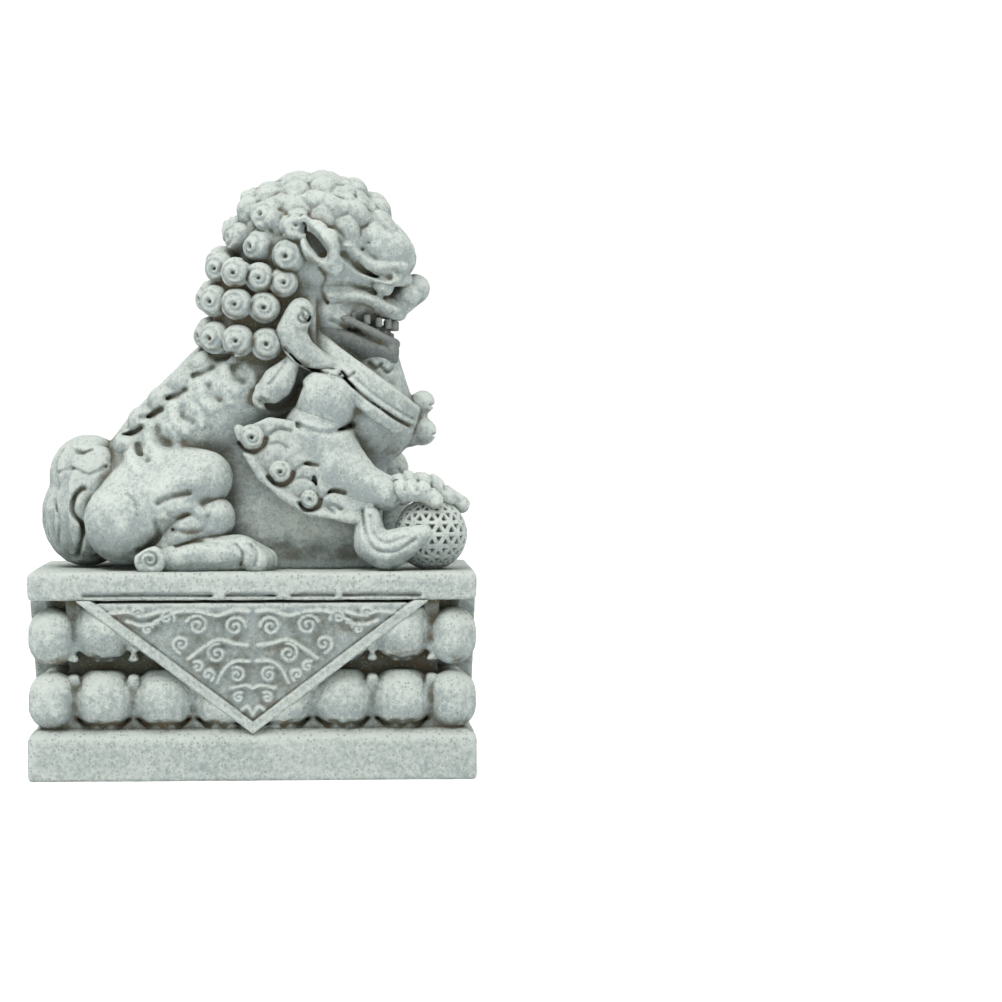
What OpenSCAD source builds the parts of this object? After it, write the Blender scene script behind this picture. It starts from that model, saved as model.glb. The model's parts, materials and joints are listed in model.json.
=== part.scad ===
// Guardian lion (foo dog) seated on a lotus pedestal, its right forepaw on a brocade ball.
// Carved stone. +X is the way the lion faces, its right side is -Y, and +Z is up.
// The origin is the centre of the underside. Every carved mass is its own solid,
// and a feature that sits on a mass is cut back to that mass's surface.

/* [Pedestal] */
// Length of the plinth along the way the lion faces
base_l = 220; // [215:1:230]
// Depth of the plinth across the lion
base_w = 125; // [122:1:132]
// Height of the plinth's upright faces
plinth_h = 22; // [20:1:26]
// Height of the slope on top of the plinth
plinth_slope = 3; // [2:0.5:4]
// Height of the lotus waist between the plinth and the top slab
lotus_h = 63.7; // [60:0.1:66]
// Thickness of the top slab
slab_h = 13.7; // [12:0.1:16]

/* [Lotus petals] */
// Width of a petal
petal_w = 26; // [24:0.5:26.5]
// Radius of a petal's bulge
petal_r = 16; // [15:0.5:17]
// Radius of a corner petal
corner_petal_r = 10.5; // [9.5:0.5:11]
// Petals along each long side, without the corner ones
petals_long = 6; // [6:1:6]
// Petals across each end, without the corner ones
petals_short = 3; // [3:1:3]

/* [Drapes] */
// Half the width of a side drape at the slab
drape_half = 87; // [80:1:88]
// Half the width of an end drape at the slab
end_drape_half = 44; // [38:1:48]

/* [Lion] */
// Height of the lion above the top slab
lion_h = 200.6; // [190:0.1:210]
// Radius of one curl of the mane
curl_r = 7.4; // [6.8:0.1:7.8]
// Radius of the brocade ball
ball_r = 18.2; // [17.5:0.1:18.5]

/* [Hidden] */

stone = "#b9c1bb";
pale_stone = "#c9d0c8";
dark_stone = "#9aa49f";

lotus_z = plinth_h + plinth_slope;
slab_z = lotus_z + lotus_h;
slab_top = slab_z + slab_h;
lion_k = lion_h / 200.6;
corner_r = 3;

// ---- Helpers ----

// A ball with flat facets, which a hull can carry
module ball(p, r, n = 16) translate(p) sphere(r, $fn = n);

// An ellipsoid of radii r, turned by a
module blob(p, r, a = [0, 0, 0], n = 20) translate(p) rotate(a) scale(r) hull() sphere(1, $fn = n);

// A smooth limb through points given as [x, y, z, radius]
module limb(pts, n = 16)
  for (i = [0 : len(pts) - 2]) hull() {
    ball([pts[i][0], pts[i][1], pts[i][2]], pts[i][3], n);
    ball([pts[i + 1][0], pts[i + 1][1], pts[i + 1][2]], pts[i + 1][3], n);
  }

// The same shape on the lion's left side
module left_side() mirror([0, 1, 0]) children();

// Puts the lion's own frame, whose floor is z = 0, on the top slab
module on_slab() translate([0, 0, slab_top]) scale(lion_k) children();

// Everything below the lion's floor, to cut feet and ball flat
module floor_block() translate([-150, -100, -60]) cube([300, 200, 60]);

// A slab with round upright corners, from z0 to z1
module rounded_slab(l, w, z0, z1, r) translate([0, 0, z0]) {
  translate([-l / 2 + r, -w / 2, 0]) cube([l - 2 * r, w, z1 - z0]);
  translate([-l / 2, -w / 2 + r, 0]) cube([l, w - 2 * r, z1 - z0]);
  for (sx = [-1, 1], sy = [-1, 1])
    translate([sx * (l / 2 - r), sy * (w / 2 - r), 0]) cylinder(r = r, h = z1 - z0, $fn = 48);
}

// ---- Pedestal ----

waist_z = lotus_z + 0.47 * lotus_h;   // where the lotus is narrowest
core_in = 14;                         // from the plinth's face to the core, above and below
waist_in = 19;                        // from the plinth's face to the core at the waist
slope_in = 5;                         // how far the slope on the plinth runs in
petal_in = 1;                         // from the plinth's face to a petal's outermost point
thin = 0.01;

// A thin rectangle with its edges at a distance inset inside the plinth's faces
module level(inset, z) translate([-base_l / 2 + inset, -base_w / 2 + inset, z])
  cube([base_l - 2 * inset, base_w - 2 * inset, thin]);

module plinth() color(stone) {
  rounded_slab(base_l, base_w, 0, plinth_h, corner_r);
  hull() { level(1, plinth_h - thin); level(slope_in, lotus_z - thin); }
}

module top_slab() color(stone) rounded_slab(base_l, base_w, slab_z, slab_top, corner_r);

// The block that the petals are carved on: two frustums that meet at the waist
module core_shape() {
  hull() { level(core_in, lotus_z); level(waist_in, waist_z); }
  hull() { level(waist_in, waist_z); level(core_in, slab_z - thin); }
}

module lotus_core() color(dark_stone) core_shape();

long_y = base_w / 2 - petal_in - petal_r;
short_x = base_l / 2 - petal_in - petal_r;
corner_x = base_l / 2 - petal_in - corner_petal_r;
corner_y = base_w / 2 - petal_in - corner_petal_r;
long_pitch = 2 * (corner_x - 10.5) / petals_long;
short_pitch = 2 * (corner_y - 10.5) / petals_short;

// Runs children() at each place round the pedestal, facing -Y
module along_the_long_sides(n) for (side = [0, 180]) rotate(side) for (i = [0 : n - 1])
  translate([(i - (n - 1) / 2) * long_pitch, -long_y, 0]) children();
module along_the_ends(n) for (side = [90, 270]) rotate(side) for (i = [0 : n - 1])
  translate([(i - (n - 1) / 2) * short_pitch, -short_x, 0]) children();
module at_the_corners() for (sx = [-1, 1], sy = [-1, 1])
  translate([sx * corner_x, sy * corner_y, 0]) children();

// A squared-off bulge from z0 to z1, widest at the level bulge_z
module petal(z0, z1, bulge_z) intersection() {
  translate([0, 0, bulge_z]) sphere(petal_r, $fn = 64);
  translate([-petal_w / 2, -2 * petal_r, z0]) cube([petal_w, 4 * petal_r, z1 - z0]);
}
module corner_petal(z0, z1) {
  r = corner_petal_r;
  translate([0, 0, z0 + r]) cylinder(r = r, h = z1 - z0 - 2 * r, $fn = 48);
  for (z = [z0 + r, z1 - r]) translate([0, 0, z]) sphere(r, $fn = 48);
}

lower_z0 = lotus_z + 0.5;
lower_z1 = waist_z - 2.5;
upper_z0 = waist_z + 2.5;
upper_z1 = slab_z - 5;
lower_bulge_z = lotus_z + 13;
upper_bulge_z = slab_z - 14.5;

module lower_row() {
  along_the_long_sides(petals_long) petal(lower_z0, lower_z1, lower_bulge_z);
  along_the_ends(petals_short) petal(lower_z0, lower_z1, lower_bulge_z);
  at_the_corners() corner_petal(lower_z0, lower_z1);
}
module upper_row() {
  along_the_long_sides(petals_long) petal(upper_z0, upper_z1, upper_bulge_z);
  along_the_ends(petals_short) petal(upper_z0, upper_z1, upper_bulge_z);
  at_the_corners() corner_petal(upper_z0, upper_z1);
}
module lower_petals() color(pale_stone) difference() { lower_row(); core_shape(); drapes(); }
module upper_petals() color(pale_stone) difference() { upper_row(); core_shape(); drapes(); }

// An upright rib in the gap between two petals, half as wide as w0 at z0 and w1 at z1
rib_y = 9;        // from a petal's middle out to the rib's face
rib_deep = 14;
rib_foot = 5;
rib_head = 3;
rib_neck = 1.6;
module rib(z0, z1, w0, w1) translate([0, rib_deep - rib_y, 0]) rotate([90, 0, 0])
  linear_extrude(rib_deep) polygon([[-w0, z0], [w0, z0], [w1, z1], [-w1, z1]]);

module lower_ribs() color(stone) difference() {
  union() {
    along_the_long_sides(petals_long + 1) rib(lotus_z, waist_z - 4, rib_foot, rib_neck);
    along_the_ends(petals_short + 1) rib(lotus_z, waist_z - 4, rib_foot, rib_neck);
  }
  core_shape();
  lower_row();
  drapes();
}
module upper_ribs() color(stone) difference() {
  union() {
    along_the_long_sides(petals_long + 1) rib(waist_z + 4, slab_z, rib_neck, rib_head);
    along_the_ends(petals_short + 1) rib(waist_z + 4, slab_z, rib_neck, rib_head);
  }
  core_shape();
  upper_row();
  drapes();
}

// A triangular brocade drape with its point down. Its face is at distance d, and the stone
// behind it is solid to the core, so no petal or rib shows there.
drape_deep = waist_in + 1;
module drape_wedge(d, half, tip_z) translate([0, -d + drape_deep, 0]) rotate([90, 0, 0])
  linear_extrude(drape_deep) polygon([[-half, slab_z], [half, slab_z], [0, tip_z]]);

// The room between the plinth, the core and the face, as [depth in from the face, z]
room = [
  [-1, slab_z + 1], [-1, plinth_h], [1, plinth_h], [slope_in, lotus_z],
  [core_in, lotus_z], [waist_in, waist_z], [core_in, slab_z], [core_in, slab_z + 1]
];
module drape(d, half, tip_z) intersection() {
  drape_wedge(d, half, tip_z);
  translate([-half - 1, -d, 0]) rotate([90, 0, 90]) linear_extrude(2 * half + 2) polygon(room);
}
side_tip_z = plinth_h + 1;
end_tip_z = lotus_z + 2;
module drapes() for (turn = [0, 180]) rotate(turn) {
  drape_wedge(base_w / 2, drape_half, side_tip_z);
  rotate(90) drape_wedge(base_l / 2, end_drape_half, end_tip_z);
}

module drape_right() color(pale_stone) drape(base_w / 2, drape_half, side_tip_z);
module drape_left() color(pale_stone) left_side() drape_right();
module drape_head_end() color(pale_stone) rotate(90) drape(base_l / 2, end_drape_half, end_tip_z);
module drape_tail_end() color(pale_stone) mirror([1, 0, 0]) drape_head_end();

// ---- Body ----

module torso_mass() {
  hull() { ball([-52, 0, 34.6], 34, 24); ball([-39, 0, 58], 30.5, 24); }
  hull() { ball([-39, 0, 58], 30.5, 24); ball([-7.5, 0, 84], 35, 24); }
  hull() { ball([-7.5, 0, 84], 35, 24); ball([25, 0, 110], 28, 24); }
  hull() {
    translate([-28, -31, 0]) cube([90, 62, 1]);
    ball([-5, 0, 58], 30, 24);
    ball([40, 0, 62], 28, 24);
  }
}

module chest_mass() {
  blob([49, 0, 78], [34, 35, 27], [0, 20, 0], 24);
  hull() { ball([57, 0, 98], 18.2, 20); ball([61.5, 0, 82], 18.8, 20); }
}

module torso() color(stone) on_slab() torso_mass();

module chest() color(stone) on_slab() union() difference() {
  chest_mass();
  torso_mass();
  for (s = [0, 1]) mirror([0, s, 0]) { shoulder_mass(); upper_arm(); }
}

// The bushy tail lies up the rump in three locks
module tail_mass() {
  blob([-85, 0, 26], [23, 27, 26]);
  blob([-84, 0, 46], [20, 22, 21]);
  for (s = [-1, 1]) blob([-80, 17 * s, 34], [17, 13, 28], [8 * s, 8, 0], 16);
}

module tail() color(pale_stone) on_slab() union() difference() {
  tail_mass();
  torso_mass();
  for (s = [0, 1]) mirror([0, s, 0]) thigh_mass();
  floor_block();
}

// Knobs in a row down each side of the back
spine_knob = [[-24, 102], [-35, 93.5], [-46, 84], [-56, 74], [-63, 62]];
module spine_knobs() color(pale_stone) on_slab() union() difference() {
  for (p = spine_knob, s = [-1, 1]) translate([p[0], 17 * s, p[1]]) sphere(6.5, $fn = 32);
  torso_mass();
}

// ---- Hind legs ----

module thigh_mass() hull() {
  ball([-63, -31, 23.5], 21.5, 24);
  ball([-24, -37, 45.5], 14.2, 20);
  ball([-48, -20, 42], 22, 20);
}

module shin_mass() {
  hull() { ball([-20, -40, 26], 11.5, 18); ball([-34, -39, 21], 11.5, 18); }
  hull() { ball([-34, -39, 21], 11.5, 18); ball([-44, -41, 9], 8, 14); }
}

module hind_foot_mass() {
  limb([[-40, -45, 6, 6.5], [-22, -45, 7.5, 8.2], [-8, -45, 8.5, 8.2]], 12);
  for (i = [0 : 2]) hull() {
    ball([-5, -40 - 5 * i, 10.5], 5.4, 12);
    ball([6 - 2.2 * i, -39.5 - 5.6 * i, 4.6], 5, 12);
  }
  translate([-50.5, -50, 5.2]) rotate([90, 0, 0]) cylinder(r = 6.2, h = 8, center = true, $fn = 20);
  hull() { ball([-49, -44, 5.5], 5.2, 12); ball([-40, -45, 7], 6, 12); }
}

module thigh() union() difference() { thigh_mass(); torso_mass(); floor_block(); }
module shin() union() difference() {
  shin_mass();
  thigh_mass();
  torso_mass();
  floor_block();
}
module hind_foot() union() difference() {
  hind_foot_mass();
  thigh_mass();
  shin_mass();
  torso_mass();
  floor_block();
}

module thigh_right() color(pale_stone) on_slab() thigh();
module thigh_left() color(pale_stone) on_slab() left_side() thigh();
module shin_right() color(stone) on_slab() shin();
module shin_left() color(stone) on_slab() left_side() shin();
module hind_foot_right() color(pale_stone) on_slab() hind_foot();
module hind_foot_left() color(pale_stone) on_slab() left_side() hind_foot();

// ---- Forelegs ----

module shoulder_mass() blob([36, -34, 83.5], [15, 13, 17]);
module upper_arm() limb([[31, -31, 68, 17], [39, -32, 52, 17]], 20);

// The right foreleg bends forward to the ball, and the left one stands straight
module foreleg_right_mass() {
  upper_arm();
  limb([[39, -32, 52, 17], [53, -38, 42, 11.5], [66, -40, 38, 8.8]], 18);
}
module foreleg_left_mass() {
  left_side() upper_arm();
  limb([[39, 32, 52, 17], [66, 36, 47, 14], [69, 37, 27, 11], [70, 37, 8, 10]], 16);
}

module forepaw_right_mass() {
  limb([[66, -40, 38, 8.8], [74, -38.5, 40, 8.2]], 12);
  limb([[74, -45, 40, 5.8], [84, -47, 39, 5.4], [90, -47.5, 34.5, 4.4]], 12);
  limb([[76, -37, 43, 6.4], [88, -37, 42, 6], [97, -38, 36, 4.6]], 12);
  limb([[77, -30, 41, 5.8], [91, -28, 39, 5.6], [103.5, -30, 32, 4.8]], 12);
}
module forepaw_left_mass() {
  limb([[70, 37, 8, 10], [80, 37, 8.5, 8.8]], 12);
  for (i = [-1 : 1]) limb([[83, 37 + 6 * i, 9.5, 6], [94 - abs(i) * 2, 37 + 7 * i, 5, 5.4]], 12);
}

module shoulder() union() difference() { shoulder_mass(); torso_mass(); }
module foreleg_right() color(pale_stone) on_slab() union() difference() {
  foreleg_right_mass();
  shoulder_mass();
  torso_mass();
}
module foreleg_left() color(pale_stone) on_slab() union() difference() {
  foreleg_left_mass();
  left_side() shoulder_mass();
  torso_mass();
  floor_block();
}
module forepaw_right() color(pale_stone) on_slab() union() difference() {
  forepaw_right_mass();
  foreleg_right_mass();
  brocade_ball_shape();
}
module forepaw_left() color(pale_stone) on_slab() union() difference() {
  forepaw_left_mass();
  foreleg_left_mass();
  torso_mass();
  floor_block();
}
module shoulder_right() color(pale_stone) on_slab() shoulder();
module shoulder_left() color(pale_stone) on_slab() left_side() shoulder();

// Scalloped tuft of hair along the back of a foreleg
fringe_y = -47;
fringe_t = 11;
fringe_edge = [[-8, 69], [-4, 58], [3, 46], [15, 35.5], [28, 28], [51, 24]];
module fringe_plate() translate([0, fringe_y + fringe_t, 0]) rotate([90, 0, 0])
  linear_extrude(fringe_t)
    polygon(concat(fringe_edge, [[60, 31], [50, 52], [32, 72], [8, 76]]));
module fringe_rim()
  limb([for (p = fringe_edge) [p[0] + 1, fringe_y, p[1] + 1, 2.6]], 12);

module leg_fringe(arm_mirror) union() difference() {
  union() { fringe_plate(); fringe_rim(); }
  if (arm_mirror) left_side() foreleg_left_mass(); else foreleg_right_mass();
  shoulder_mass();
  torso_mass();
}
module leg_fringe_right() color(pale_stone) on_slab() leg_fringe(false);
module leg_fringe_left() color(pale_stone) on_slab() left_side() leg_fringe(true);

// Snail curls that stand on the tuft
fringe_curl = [[-0.5, 66, 6.4], [13.5, 49, 5.8], [28, 35.5, 4.8]];
module fringe_curls() difference() {
  for (c = fringe_curl) translate([c[0], fringe_y, c[1]]) sphere(c[2], $fn = 32);
  translate([-60, fringe_y, -10]) cube([160, 60, 200]);
}
module fringe_curls_right() color(pale_stone) on_slab() fringe_curls();
module fringe_curls_left() color(pale_stone) on_slab() left_side() fringe_curls();

// Flame-shaped tuft behind the shoulder
module flame_mass() limb([[5, -37, 85, 6], [12, -36, 93, 8.4], [18, -34, 101, 5], [20, -33, 107, 2]], 12);
module flame() union() difference() {
  flame_mass();
  shoulder_mass();
  torso_mass();
  mane_core_mass();
}
module flame_curl_right() color(pale_stone) on_slab() flame();
module flame_curl_left() color(pale_stone) on_slab() left_side() flame();

// ---- Collar and bells ----

collar_tilt = 37;
collar_w = 17;
module collar() color(pale_stone) on_slab() union() difference() {
  intersection() {
    hull() { ball([45, 0, 84], 39, 24); ball([36, 0, 102], 31, 20); }
    translate([46, 0, 97]) rotate([0, collar_tilt, 0])
      translate([-60, -60, -collar_w / 2]) cube([120, 120, collar_w]);
  }
  chest_mass();
  torso_mass();
  for (s = [0, 1]) mirror([0, s, 0]) { shoulder_mass(); beard_roll_mass(); flame_mass(); }
  jaw_mass();
  skull_mass();
  mane_core_mass();
}

module collar_bells() color(pale_stone) on_slab() {
  translate([85.6, 0, 83.4]) sphere(5.2, $fn = 40);
  translate([85.2, 0, 68.4]) sphere(6.4, $fn = 40);
  translate([79.5, 0, 67]) sphere(5.4, $fn = 40);
  translate([84.5, 0, 73]) cylinder(r = 2.6, h = 7, $fn = 24);
}

// ---- Ball ----

ball_at = [88.3, -34, ball_r - 0.6];
module brocade_ball_shape() translate(ball_at) sphere(ball_r, $fn = 64);
module brocade_ball() color(pale_stone) on_slab() difference() {
  brocade_ball_shape();
  floor_block();
}

module ribbon_mass()
  limb([[57, -43, 26, 5], [58, -46, 13, 7.4], [66, -48, 9.5, 8.6],
        [75, -51, 14, 6.4], [84, -52.5, 19, 2.6]], 12);
module ball_ribbon() color(pale_stone) on_slab() union() difference() {
  ribbon_mass();
  brocade_ball_shape();
  foreleg_right_mass();
  forepaw_right_mass();
  torso_mass();
  floor_block();
}

// ---- Head ----

module skull_mass() {
  blob([43, 0, 148], [29, 28, 31], n = 24);
  blob([36, 0, 130], [22, 28, 20], n = 20);
}
module jaw_mass() hull() for (s = [-1, 1]) {
  ball([36, 19 * s, 117], 7.5, 12);
  ball([67, 8 * s, 109], 6.5, 12);
  ball([66, 7 * s, 102.5], 6, 12);
}
module muzzle_mass() {
  hull() for (s = [-1, 1]) {
    ball([44, 19 * s, 137.5], 6.5, 14);
    ball([70, 7.5 * s, 130.5], 5.5, 14);
  }
  for (s = [-1, 1])
    limb([[39, 25 * s, 135.5, 3], [50, 24 * s, 136.5, 3], [59, 20.5 * s, 134.6, 3],
          [67, 15 * s, 131, 3], [72.5, 7 * s, 128.4, 3.4], [74, 0, 128, 3.4]], 10);
}
module nose_mass() {
  hull() for (s = [-1, 1]) { ball([70, 5 * s, 130], 4.6, 14); ball([81.5, 4.5 * s, 141], 6.2, 14); }
  for (s = [-1, 1]) ball([79, 8.2 * s, 138.5], 4.8, 14);
}
module brow_mass() {
  blob([61.5, -13, 162], [22, 15.5, 14.5], [0, 32, 0], 20);
  limb([[46, -27, 157, 3.2], [56, -27, 149.5, 3.8], [68, -22, 145.5, 3.8], [76, -13, 145.5, 3.6]], 12);
}
module eye_mass() ball([64.5, -18.5, 142], 6.2, 16);

module skull() color(stone) on_slab() union() difference() { skull_mass(); mane_core_mass(); torso_mass(); }
module brow_right() color(pale_stone) on_slab() union() difference() {
  brow_mass();
  skull_mass();
  mane_core_mass();
  translate([-10, 0, 100]) cube([120, 60, 120]);
}
module brow_left() color(pale_stone) on_slab() union() difference() {
  left_side() brow_mass();
  skull_mass();
  mane_core_mass();
  translate([-10, -60, 100]) cube([120, 60, 120]);
}
module eyes() color(stone) on_slab() union() difference() {
  for (s = [0, 1]) mirror([0, s, 0]) eye_mass();
  skull_mass();
  muzzle_mass();
  for (s = [0, 1]) mirror([0, s, 0]) brow_mass();
}
module nose() color(pale_stone) on_slab() union() difference() {
  nose_mass();
  muzzle_mass();
}
module upper_jaw() color(stone) on_slab() union() difference() {
  muzzle_mass();
  skull_mass();
  mane_core_mass();
}
module lower_lip() for (s = [-1, 1])
  limb([[38, 24.5 * s, 128, 2.2], [48, 23.5 * s, 124.5, 2.2], [58, 19.5 * s, 119.5, 2.3],
        [66, 13 * s, 115.5, 2.4], [71, 6 * s, 113.5, 2.4], [72, 0, 113, 2.4]], 10);
module lower_jaw() color(dark_stone) on_slab() union() difference() {
  union() { jaw_mass(); lower_lip(); }
  skull_mass();
  torso_mass();
  chest_mass();
}

// Teeth stand in a bow from one corner of the mouth to the other
function bow(t, x0, x1, w) = [x0 + (x1 - x0) * cos(t), w * sin(t)];
module teeth(z_back, z_front, h, w, x1) {
  step = 15;
  for (t = [-75 : step : 75]) {
    p = bow(t, 42, x1, w);
    z = z_back + (z_front - z_back) * cos(t);
    translate([p[0], p[1], z]) cylinder(r = 1.9, h = h, $fn = 10);
  }
}
module upper_teeth() color(pale_stone) on_slab() union() difference() {
  teeth(125.5, 119.5, 5, 21.5, 71.5);
  muzzle_mass();
  skull_mass();
}
module lower_teeth_mass() teeth(121, 114, 4.3, 20, 69);
module lower_teeth() color(pale_stone) on_slab() union() difference() {
  lower_teeth_mass();
  jaw_mass();
  lower_lip();
  skull_mass();
}
module tongue() color(dark_stone) on_slab() union() difference() {
  blob([52, 0, 120], [20, 15, 7.5], [0, 14, 0], 16);
  jaw_mass();
  skull_mass();
  lower_teeth_mass();
}

module ear_mass() hull() {
  ball([24.5, -40, 174], 2.4, 12);
  ball([34, -38, 163], 7.6, 14);
  ball([30, -38, 160], 6, 12);
  ball([40.5, -35, 151], 4, 12);
}
module ear_hollow() hull() {
  ball([25, -44.5, 171], 2.2, 12);
  ball([30.5, -44.5, 161.5], 5.4, 12);
  ball([37, -42, 153.5], 2.8, 12);
}
module ear() union() difference() {
  ear_mass();
  ear_hollow();
  skull_mass();
  mane_core_mass();
}
module ear_right() color(pale_stone) on_slab() ear();
module ear_left() color(pale_stone) on_slab() left_side() ear();

module beard_roll_mass()
  limb([[23.5, -34, 128.5, 7], [18.5, -35, 118, 7.6], [23.5, -35, 108.5, 7.4],
        [34, -33, 102, 5.6], [43, -31, 99.5, 4.2]], 14);
module beard_roll() union() difference() {
  beard_roll_mass();
  skull_mass();
  mane_core_mass();
  torso_mass();
  shoulder_mass();
  flame_mass();
}
module beard_roll_right() color(pale_stone) on_slab() beard_roll();
module beard_roll_left() color(pale_stone) on_slab() left_side() beard_roll();

// ---- Mane ----

// The block of hair that the curls stand on, and the rounder crown above it
block_back = -19;
block_front = 30;
block_half = 30;
block_chamfer = 8;
block_z0 = 103;
block_z1 = 147;
module mane_block() translate([0, 0, block_z0]) linear_extrude(block_z1 - block_z0) polygon([
  [block_back, -block_half + block_chamfer],
  [block_back + block_chamfer, -block_half],
  [block_front, -block_half],
  [block_front, block_half],
  [block_back + block_chamfer, block_half],
  [block_back, block_half - block_chamfer]
]);
crown_at = [30, 0, 160];
crown_radii = [41, 36.5, 37];
module mane_core_mass() {
  mane_block();
  blob(crown_at, crown_radii, n = 24);
}
module mane_core() color(dark_stone) on_slab() union() difference() {
  mane_core_mass();
  torso_mass();
}

// The lower rows run along each side of the block, round its corners and across its back:
// [x at the front, z at the front, z at the back, curls from the front end to the middle of the
// back, how far the back is drawn in towards the crown]
block_rows = [[6.6, 112.3, 118.6, 4, 0], [5.5, 130.4, 137.2, 4, 1], [14.8, 142.8, 155.2, 5, 6]];
row_out = 3;         // from the block's faces out to the middles of the curls
curl_gap = 0.1;      // between two curls in a row
bend = row_out * tan(22.5);
side_y = block_half + row_out;
side_end_x = block_back + block_chamfer - bend;
back_x = block_back - row_out;
back_end_y = block_half - block_chamfer + bend;
corner_run = (side_y - back_end_y) * sqrt(2);

// The place at distance d along a row that starts at x0, on the lion's left
function row_place(d, x0) = let (side_run = x0 - side_end_x, round_it = (d - side_run) / sqrt(2))
  d < side_run ? [x0 - d, side_y]
  : d < side_run + corner_run ? [side_end_x - round_it, side_y - round_it]
  : [back_x, back_end_y - (d - side_run - corner_run)];

// The way that a curl faces there, straight out from the block
function row_turn(d, x0) = let (side_run = x0 - side_end_x)
  d < side_run ? 90 : d < side_run + corner_run ? 135 : 180;

module block_row(row) {
  run = row[0] - side_end_x + corner_run + back_end_y;
  pitch = run / row[3];
  places = [for (i = [0 : row[3]]) row_place(i * pitch, row[0]) + [row[4] * i / row[3], 0]];
  nearest = min([for (i = [1 : row[3]]) norm(places[i] - places[i - 1])]);
  r = min(curl_r, (nearest - curl_gap) / 2);
  difference() {
    for (i = [0 : row[3]], s = i < row[3] ? [-1, 1] : [1]) {
      z = row[1] + (row[2] - row[1]) * i / row[3];
      translate([places[i][0], s * places[i][1], z]) rotate(s * row_turn(i * pitch, row[0]))
        sphere(r, $fn = 40);
    }
    mane_core_mass();
  }
}

// The upper rows run round the crown, from turn on one side to the same on the other
crown_row_curls = 7;
curl_sink = 1;
function crown_k(z) = sqrt(1 - pow((z - crown_at[2]) / crown_radii[2], 2));
module crown_row(z_front, z_back, first_turn) difference() {
  for (i = [0 : crown_row_curls - 1]) {
    turn = first_turn + i * (360 - 2 * first_turn) / (crown_row_curls - 1);
    share = 1 - abs(turn - 180) / (180 - first_turn);
    z = z_front + share * (z_back - z_front);
    translate([
      crown_at[0] + (crown_radii[0] * crown_k(z) - curl_sink) * cos(turn),
      (crown_radii[1] * crown_k(z) - curl_sink) * sin(turn),
      z
    ]) rotate(turn) sphere(curl_r, $fn = 40);
  }
  mane_core_mass();
}
module mane_row_1() color(pale_stone) on_slab() block_row(block_rows[0]);
module mane_row_2() color(pale_stone) on_slab() block_row(block_rows[1]);
module mane_row_3() color(pale_stone) on_slab() block_row(block_rows[2]);
module mane_row_4() color(pale_stone) on_slab() crown_row(156, 170, 108);
module mane_row_5() color(pale_stone) on_slab() crown_row(170, 184, 102);

// Low curls in ribs across the crown
crown_rib_x = [7, 21, 35, 49, 61];
crown_rib_turn = 26;
crown_curl_r = 7.2;
crown_sink = 3.6;
module crown_curls() color(pale_stone) on_slab() difference() {
  for (x = crown_rib_x) {
    k = sqrt(1 - pow((x - crown_at[0]) / crown_radii[0], 2));
    for (turn = [-2 : 2]) translate([
      x,
      (crown_radii[1] - crown_sink) * k * sin(turn * crown_rib_turn),
      crown_at[2] + (crown_radii[2] - crown_sink) * k * cos(turn * crown_rib_turn)
    ]) sphere(crown_curl_r, $fn = 32);
  }
  mane_core_mass();
}

// ---- Choice of node ----

plinth();
lotus_core();
lower_petals();
upper_petals();
lower_ribs();
upper_ribs();
top_slab();
drape_right();
drape_left();
drape_head_end();
drape_tail_end();
torso();
chest();
tail();
spine_knobs();
thigh_right();
thigh_left();
shin_right();
shin_left();
hind_foot_right();
hind_foot_left();
shoulder_right();
shoulder_left();
foreleg_right();
foreleg_left();
forepaw_right();
forepaw_left();
leg_fringe_right();
leg_fringe_left();
fringe_curls_right();
fringe_curls_left();
flame_curl_right();
flame_curl_left();
collar();
collar_bells();
brocade_ball();
ball_ribbon();
skull();
brow_right();
brow_left();
eyes();
nose();
upper_jaw();
lower_jaw();
upper_teeth();
lower_teeth();
tongue();
ear_right();
ear_left();
beard_roll_right();
beard_roll_left();
mane_core();
mane_row_1();
mane_row_2();
mane_row_3();
mane_row_4();
mane_row_5();
crown_curls();
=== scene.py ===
"""The carved granite lion: sculpted from the CAD masses, with procedural stone.

Each CAD node is turned into a distance field, the fields of neighbouring nodes are blended
the way a carver rounds one form into the next, and curls, lattice, scrollwork and creases are
cut into the result. Then the field is divided along the CAD's own joints between the masses,
so that every node gets one sculpted piece.
"""

import json
import math

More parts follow.
